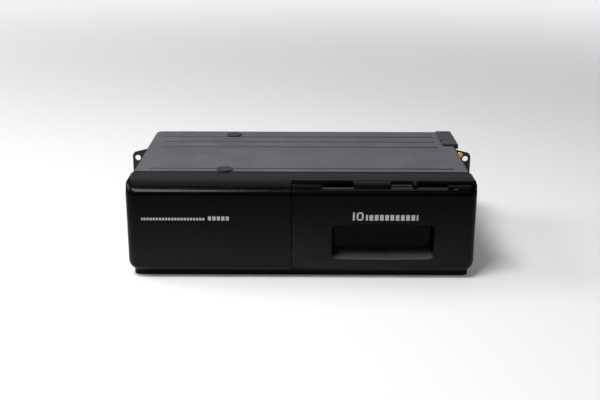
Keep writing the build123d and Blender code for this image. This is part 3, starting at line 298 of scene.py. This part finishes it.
LOOKS = {
    # the cover's sheet top brings painted shade into its beads
    "cover_paint": dict(color=(0.066, 0.063, 0.071), roughness=0.55, size=0.9, depth=0.012, clouds=0.35,
                        dust=0.06, specular=0.22, sheet_top=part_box("top_cover")[1].z),
    "plate_paint": dict(color=(0.040, 0.036, 0.040), roughness=0.5, size=0.5, depth=0.012, specular=0.2),
    "pan_steel": dict(color=(0.003, 0.003, 0.0033), roughness=0.5, size=0.5, depth=0.01, specular=0.1),
    "bracket_steel": dict(color=(0.012, 0.012, 0.0125), roughness=0.45, size=0.5, depth=0.012, specular=0.3),
    "frame_zinc": dict(color=(0.42, 0.42, 0.40), roughness=0.38, metallic=1.0, clouds=0.3, depth=0.004,
                       streaks=True),
    "pin_steel": dict(color=(0.010, 0.010, 0.011), roughness=0.45, metallic=0.4, clouds=0.1, depth=0.003,
                      streaks=True),
    "screw_black": dict(color=(0.02, 0.02, 0.021), roughness=0.4, metallic=0.6, size=0.2, depth=0.006),
    "brass": dict(color=(0.66, 0.40, 0.16), roughness=0.3, metallic=1.0, clouds=0.3, depth=0.004, streaks=True),
    # the shell's front carries painted light: a paler recess floor, and painted bounce light and sheen
    "shell_plastic": dict(color=(0.0008, 0.0007, 0.0011), roughness=0.20, size=0.28, depth=0.006, specular=0.05,
                          clouds=0.2, dust=0.012, dust_and_painted_light=(0.044, 0.040, 0.042), painted_bounce_and_sheen=(0.0150, 0.0130, 0.0155)),
    "case_plastic": dict(color=(0.016, 0.016, 0.017), roughness=0.5, size=0.35, depth=0.018, specular=0.3),
    "tray_plastic": dict(color=(0.035, 0.036, 0.038), roughness=0.42, size=0.8, depth=0.008),
    "gear_plastic": dict(color=(0.75, 0.74, 0.70), roughness=0.4, size=0.8, depth=0.006, clouds=0.05),
    "button_plastic": dict(color=(0.10, 0.10, 0.11), roughness=0.3, size=0.5, depth=0.006),
    "cap_paint": dict(color=(0.022, 0.021, 0.024), roughness=0.5, size=0.6, depth=0.01, clouds=0.5, dust=0.05,
                      specular=0.2),
    "damper_rubber": dict(color=(0.02, 0.02, 0.02), roughness=0.75, size=0.5, depth=0.02, specular=0.3),
    "motor_steel": dict(color=(0.50, 0.50, 0.48), roughness=0.3, metallic=1.0, depth=0.004, streaks=True),
    "board_laminate": dict(color=(0.02, 0.13, 0.05), roughness=0.3, size=1.5, depth=0.01, clouds=0.4, coat=0.4),
    "chip_plastic": dict(color=(0.015, 0.015, 0.016), roughness=0.5, size=0.3, depth=0.01),
    "lens_glass": dict(color=(0.12, 0.16, 0.30), roughness=0.08, size=5.0, depth=0.001, coat=1.0),
}
FINISH = {name: finish_of(name, **look) for name, look in LOOKS.items()}
# a node whose finish isn't that of its slot in the record
OWN_FINISH = {"corner_plate": "plate_paint"}

for part in frame["record"]["subparts"]:
    materials = frame["nodes"][part["node"]].data.materials
    materials.clear()
    materials.append(FINISH[OWN_FINISH.get(part["node"], part["material_slot"])])


# ---------------------------------------------------------------- the front's curve
EDGE_RADIUS, CORNER_RADIUS = 8.0 * MM, 8.5 * MM
CURVE_DEPTH, CURVE_HEIGHT = 20.0 * MM, 10.5 * MM
TOP_CORNER = 3.0 * MM
BAND_DEPTH, CORNER_REACH = 30.0 * MM, 24.0 * MM
KNUCKLE_REACH, KNUCKLE_LEAST, KNUCKLE_CROWN = 3.55 * MM, 2.4 * MM, 0.8 * MM
KNUCKLE_ZONE, ZONE_SLOPE = 6 * MM, 3
CUT_LEVELS = 24
WELD_DISTANCE, CUT_TOLERANCE = 0.002 * MM, 0.0005 * MM
SHARP_DEGREES = 24


def add_piece(name, data, slot, body):
    """A mesh as an object with its finish, that rides on a body."""
    made = bpy.data.objects.new(name, data)
    bpy.context.collection.objects.link(made)
    data.materials.append(FINISH[slot])
    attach(made, body)
    return made


def curve_reach(depth, size, height):
    """How far behind its foremost line a quarter ellipse lies, at a depth under its top line."""
    part = np.clip((height - depth) / height, 0, 1)
    return size * (1 - np.sqrt(1 - part ** 2))


def curved(points):
    """The solids' round top edge drawn back to the photograph's long flat curve, and the top corners made tighter.

    With d the depth under the top and r the distance behind the front, a point moves back by v (n(d) - o(d)):
    n is the new curve's reach, o the old edge's, and v falls evenly from 1 on the old edge to 0 at the band's rear.
    The same is done outwards at both sides for the corners.
    """
    points = np.array(points, float)
    depth = np.clip(FRONT_HIGH.z - points[:, 2], 0, None)
    behind = points[:, 1] - FRONT_LOW.y
    old = curve_reach(depth, EDGE_RADIUS, EDGE_RADIUS)
    share = np.clip((BAND_DEPTH - behind) / (BAND_DEPTH - old), 0, 1)
    half = (FRONT_HIGH.x - FRONT_LOW.x) / 2
    middle = (FRONT_HIGH.x + FRONT_LOW.x) / 2
    inward = half - np.abs(points[:, 0] - middle)
    old_side = curve_reach(depth, CORNER_RADIUS, CORNER_RADIUS)
    side_share = np.clip((CORNER_REACH - inward) / (CORNER_REACH - old_side), 0, 1)
    outward = (old_side - curve_reach(depth, TOP_CORNER, TOP_CORNER)) * side_share
    points[:, 0] += np.sign(points[:, 0] - middle) * outward
    points[:, 1] += share * (curve_reach(depth, CURVE_DEPTH, CURVE_HEIGHT) - old)
    return points


def swing_room(points):
    """The flap's knuckles kept near the hinge's axis, so that they clear the magazine when the flap is up.

    In the zone under the top nothing reaches behind a circle about the axis, or behind its least half width, and
    what stands over the curve there is lowered onto it. Under the zone the limit falls away with the slope.
    """
    low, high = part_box("hinge_pin")
    axis_y, axis_depth = (low.y + high.y) / 2, FRONT_HIGH.z - (low.z + high.z) / 2
    depth = FRONT_HIGH.z - points[:, 2]
    above = np.clip(depth, axis_depth - KNUCKLE_CROWN, None) - axis_depth
    circle = np.sqrt(np.clip(KNUCKLE_REACH ** 2 - above ** 2, KNUCKLE_LEAST ** 2, None))
    limit = axis_y + circle + ZONE_SLOPE * np.clip(depth - KNUCKLE_ZONE, 0, None)
    points[:, 1] = np.minimum(points[:, 1], limit)
    part = np.clip((CURVE_DEPTH - (points[:, 1] - FRONT_LOW.y)) / CURVE_DEPTH, 0, 1)
    surface = FRONT_HIGH.z - CURVE_HEIGHT * (1 - np.sqrt(1 - part ** 2))
    points[:, 2] = np.where(depth < KNUCKLE_ZONE, np.minimum(points[:, 2], surface), points[:, 2])
    return points


def curved_front(node_name, made_name, body):
    """A copy of a front part, cut at level planes that crowd towards the top, with the curve's shape laid on it."""
    shown = frame["nodes"][node_name]
    work = bmesh.new()
    work.from_mesh(shown.data)
    work.transform(shown.matrix_world)
    bmesh.ops.remove_doubles(work, verts=work.verts, dist=WELD_DISTANCE)
    for turn in np.linspace(0, np.pi / 2, CUT_LEVELS + 2)[1:-1]:
        level = FRONT_HIGH.z - CURVE_HEIGHT * (1 - np.cos(turn))
        geometry = work.verts[:] + work.edges[:] + work.faces[:]
        bmesh.ops.bisect_plane(work, geom=geometry, dist=CUT_TOLERANCE, plane_co=(0, 0, level), plane_no=(0, 0, 1))
    bmesh.ops.triangulate(work, faces=work.faces[:])
    data = bpy.data.meshes.new(made_name)
    work.to_mesh(data)
    work.free()
    flat = np.empty(len(data.vertices) * 3)
    data.vertices.foreach_get("co", flat)
    points = curved(flat.reshape(-1, 3))
    if body == "door":
        points = swing_room(points)
    data.vertices.foreach_set("co", points.ravel())
    data.shade_smooth()
    data.set_sharp_from_angle(angle=math.radians(SHARP_DEGREES))
    made = add_piece(made_name, data, "shell_plastic", body)
    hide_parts(node_name)


curved_front("fascia", "front_shell", "case")
curved_front("door", "flap", "door")


# ---------------------------------------------------------------- the hinge's pin and spring
PIN_FORWARD, PIN_DOWN = 1.9 * MM, 2.0 * MM
PIN_POINTS, PIN_SIDES = 40, 16
COIL_BACK, COIL_UP = 2.2 * MM, 1.0 * MM
WIRE_RADIUS, COIL_RADIUS = 0.28 * MM, 1.65 * MM
COIL_TURNS, TURN_POINTS, WIRE_SIDES = 15, 24, 10
COIL_INSET = 0.5 * MM
# the leg's two points in mm: inwards from the spring's left end, behind the coil's axis and over it
LEG_POINTS = ((0.4, 5.5, -1.3), (0.45, 2.6, -0.9))


def tube(centre, radius, sides):
    """A round tube along a line of points: a ring at right angles to the line at each point, with end caps."""
    centre = np.asarray(centre, float)
    along = np.gradient(centre, axis=0)
    along /= np.linalg.norm(along, axis=1)[:, None]
    guide = np.where(np.abs(along[:, 2:3]) < 0.9, np.array([[0.0, 0, 1]]), np.array([[1.0, 0, 0]]))
    first = np.cross(along, guide)
    first /= np.linalg.norm(first, axis=1)[:, None]
    second = np.cross(along, first)
    turn = np.linspace(0, 2 * np.pi, sides, endpoint=False)
    ring = np.cos(turn)[None, :, None] * first[:, None] + np.sin(turn)[None, :, None] * second[:, None]
    points = (centre[:, None] + radius * ring).reshape(-1, 3)
    count = len(centre)
    row, column = np.meshgrid(np.arange(count - 1), np.arange(sides), indexing="ij")
    near, far, across = row * sides, (row + 1) * sides, (column + 1) % sides
    quads = np.stack([near + column, near + across, far + across, far + column], -1)
    faces = quads.reshape(-1, 4).tolist()
    faces.append(list(range(sides))[::-1])
    faces.append(list(range((count - 1) * sides, count * sides)))
    return points, faces


def tube_piece(name, centre, radius, sides, slot, body):
    """A tube as a smooth closed mesh in the frame's coordinates, that rides on a body."""
    points, faces = tube(centre, radius, sides)
    data = bpy.data.meshes.new(name)
    data.from_pydata(points.tolist(), [], faces)
    data.validate()
    data.shade_smooth()
    return add_piece(name, data, slot, body)


def hinge_line():
    """The pin's ends, its axis moved back with the curve and sunk a little under it, and its radius."""
    low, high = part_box("hinge_pin")
    middle = curved([(0, (low.y + high.y) / 2, (low.z + high.z) / 2)])[0]
    return low.x, high.x, middle[1] - PIN_FORWARD, middle[2] - PIN_DOWN, (high.z - low.z) / 2


def hinge_rod():
    """The hinge's pin: a plain round rod that turns with the flap."""
    left, right, axis_y, axis_z, radius = hinge_line()
    x = np.linspace(left, right, PIN_POINTS)
    line = np.stack([x, np.full_like(x, axis_y), np.full_like(x, axis_z)], 1)
    made = tube_piece("hinge_rod", line, radius, PIN_SIDES, "pin_steel", "door")
    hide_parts("hinge_pin")


def hinge_spring():
    """Closing spring: a helix of 0.56 mm wire beside the hinge line, with a straight leg at its left end."""
    low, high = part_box("door_spring")
    axis_y, axis_z = hinge_line()[2:4]
    axis_y += COIL_BACK
    axis_z += COIL_UP
    angle = np.linspace(0, 2 * np.pi * COIL_TURNS, COIL_TURNS * TURN_POINTS)
    x = np.linspace(low.x + COIL_INSET, high.x - COIL_INSET, len(angle))
    coil = np.stack([x, axis_y + COIL_RADIUS * np.cos(angle), axis_z + COIL_RADIUS * np.sin(angle)], 1)
    leg = np.array([low.x, axis_y, axis_z]) + np.array(LEG_POINTS) * MM
    made = tube_piece("hinge_spring", np.vstack([leg, coil]), WIRE_RADIUS, WIRE_SIDES, "pin_steel", "case")
    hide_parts("door_spring")


hinge_rod()
hinge_spring()

# ---------------------------------------------------------------- floor, light and camera
AMBIENT = (0.12, 0.12, 0.12, 1)
REFLECTED_SKY = (0.12, 0.12, 0.12, 1)
BACKGROUND = (0.90, 0.895, 0.90, 1)
SKY_FADE = 0.12
FLOOR_REACH = 4.0
FLOOR_COLOR, FLOOR_GLOW = (0.50, 0.50, 0.503, 1), (0.9, 0.89, 0.9, 1)
GLOW_NEAR, GLOW_FAR = 0.5, 2.1
GLOW_LEAST, GLOW_MOST = 0.13, 0.82


def seen_directly(tree):
    """1 for rays that come from the camera, a glossy bounce or through glass, else 0."""
    rays = node(tree, "ShaderNodeLightPath").outputs
    first = calc(tree, "ADD", rays["Is Camera Ray"], rays["Is Glossy Ray"])
    return calc(tree, "ADD", first, rays["Is Transmission Ray"], use_clamp=True)


def sky():
    """A world that lights dimly, shows pale, and is dark over the horizon to a glossy ray."""
    world = bpy.data.worlds.new("studio")
    bpy.context.scene.world = world
    world.use_nodes = True
    tree = world.node_tree
    height = split(tree, node(tree, "ShaderNodeTexCoord").outputs["Generated"])["Z"]
    glossy = node(tree, "ShaderNodeLightPath").outputs["Is Glossy Ray"]
    share = calc(tree, "MULTIPLY", remap(tree, height, 0.0, SKY_FADE), glossy)
    shown = mix(tree, share, BACKGROUND, REFLECTED_SKY)
    feed(tree, tree.nodes["Background"], {"Color": mix(tree, seen_directly(tree), AMBIENT, shown)})


def floor_sheet():
    """A pale floor that glows more with the distance, for what sees it directly."""
    data = bpy.data.meshes.new("floor")
    corners = [(x * FLOOR_REACH, y * FLOOR_REACH, 0) for x, y in ((-1, -1), (1, -1), (1, 1), (-1, 1))]
    data.from_pydata(corners, [], [(0, 1, 2, 3)])
    floor = bpy.data.objects.new("floor", data)
    bpy.context.collection.objects.link(floor)
    paper = bpy.data.materials.new("floor_paper")
    paper.use_nodes = True
    tree = paper.node_tree
    away = node(tree, "ShaderNodeVectorMath", operation="LENGTH", inputs={0: object_place(tree)})
    rise = remap(tree, away.outputs["Value"], GLOW_NEAR, GLOW_FAR, GLOW_LEAST, GLOW_MOST,
                 interpolation_type="SMOOTHSTEP")
    feed(tree, tree.nodes["Principled BSDF"], {
        "Base Color": FLOOR_COLOR, "Roughness": 0.8, "Specular IOR Level": 0.1, "Emission Color": FLOOR_GLOW,
        "Emission Strength": calc(tree, "MULTIPLY", seen_directly(tree), rise)})
    data.materials.append(paper)


def lamp(name, place, target, size, power):
    """A soft rectangular area lamp aimed at a point."""
    data = bpy.data.lights.new(name, "AREA")
    data.shape = "RECTANGLE"
    data.size, data.size_y = size
    data.energy = power
    made = bpy.data.objects.new(name, data)
    made.location = place
    made.rotation_euler = (Vector(target) - Vector(place)).to_track_quat("-Z", "Y").to_euler()
    bpy.context.collection.objects.link(made)


def camera():
    """The photograph's camera: 600 pixels across, at the place that the object's edges give."""
    focal_px, width_px, sensor = 954.3, 600.0, 36.0
    place = (0.0007, -0.75117, 0.27867)
    pitch, yaw, roll = 0.310989, -0.00243, 0.00275
    forward = Vector((math.sin(yaw) * math.cos(pitch), math.cos(yaw) * math.cos(pitch), -math.sin(pitch)))
    side = Vector((math.cos(yaw), -math.sin(yaw), 0))
    above = side.cross(forward)
    right = side * math.cos(roll) + above * math.sin(roll)
    up = -side * math.sin(roll) + above * math.cos(roll)
    data = bpy.data.cameras.new("camera")
    data.sensor_width = sensor
    data.lens = focal_px / width_px * sensor
    made = bpy.data.objects.new("camera", data)
    turn = Matrix((right, up, -forward)).transposed()
    made.matrix_world = Matrix.Translation(place) @ turn.to_4x4()
    bpy.context.collection.objects.link(made)
    bpy.context.scene.camera = made


sky()
floor_sheet()
lamp("key", (-0.42, -0.50, 1.2), (0, 0, 0.04), (0.60, 0.32), 24.0)
lamp("side", (-1.25, 0.15, 0.92), (0, 0, 0.04), (0.7, 0.7), 16.0)
lamp("top", (0.0, 0.55, 1.3), (0, 0, 0.05), (1.2, 0.8), 4.0)
camera()

scene = bpy.context.scene
scene.view_settings.view_transform = "Standard"
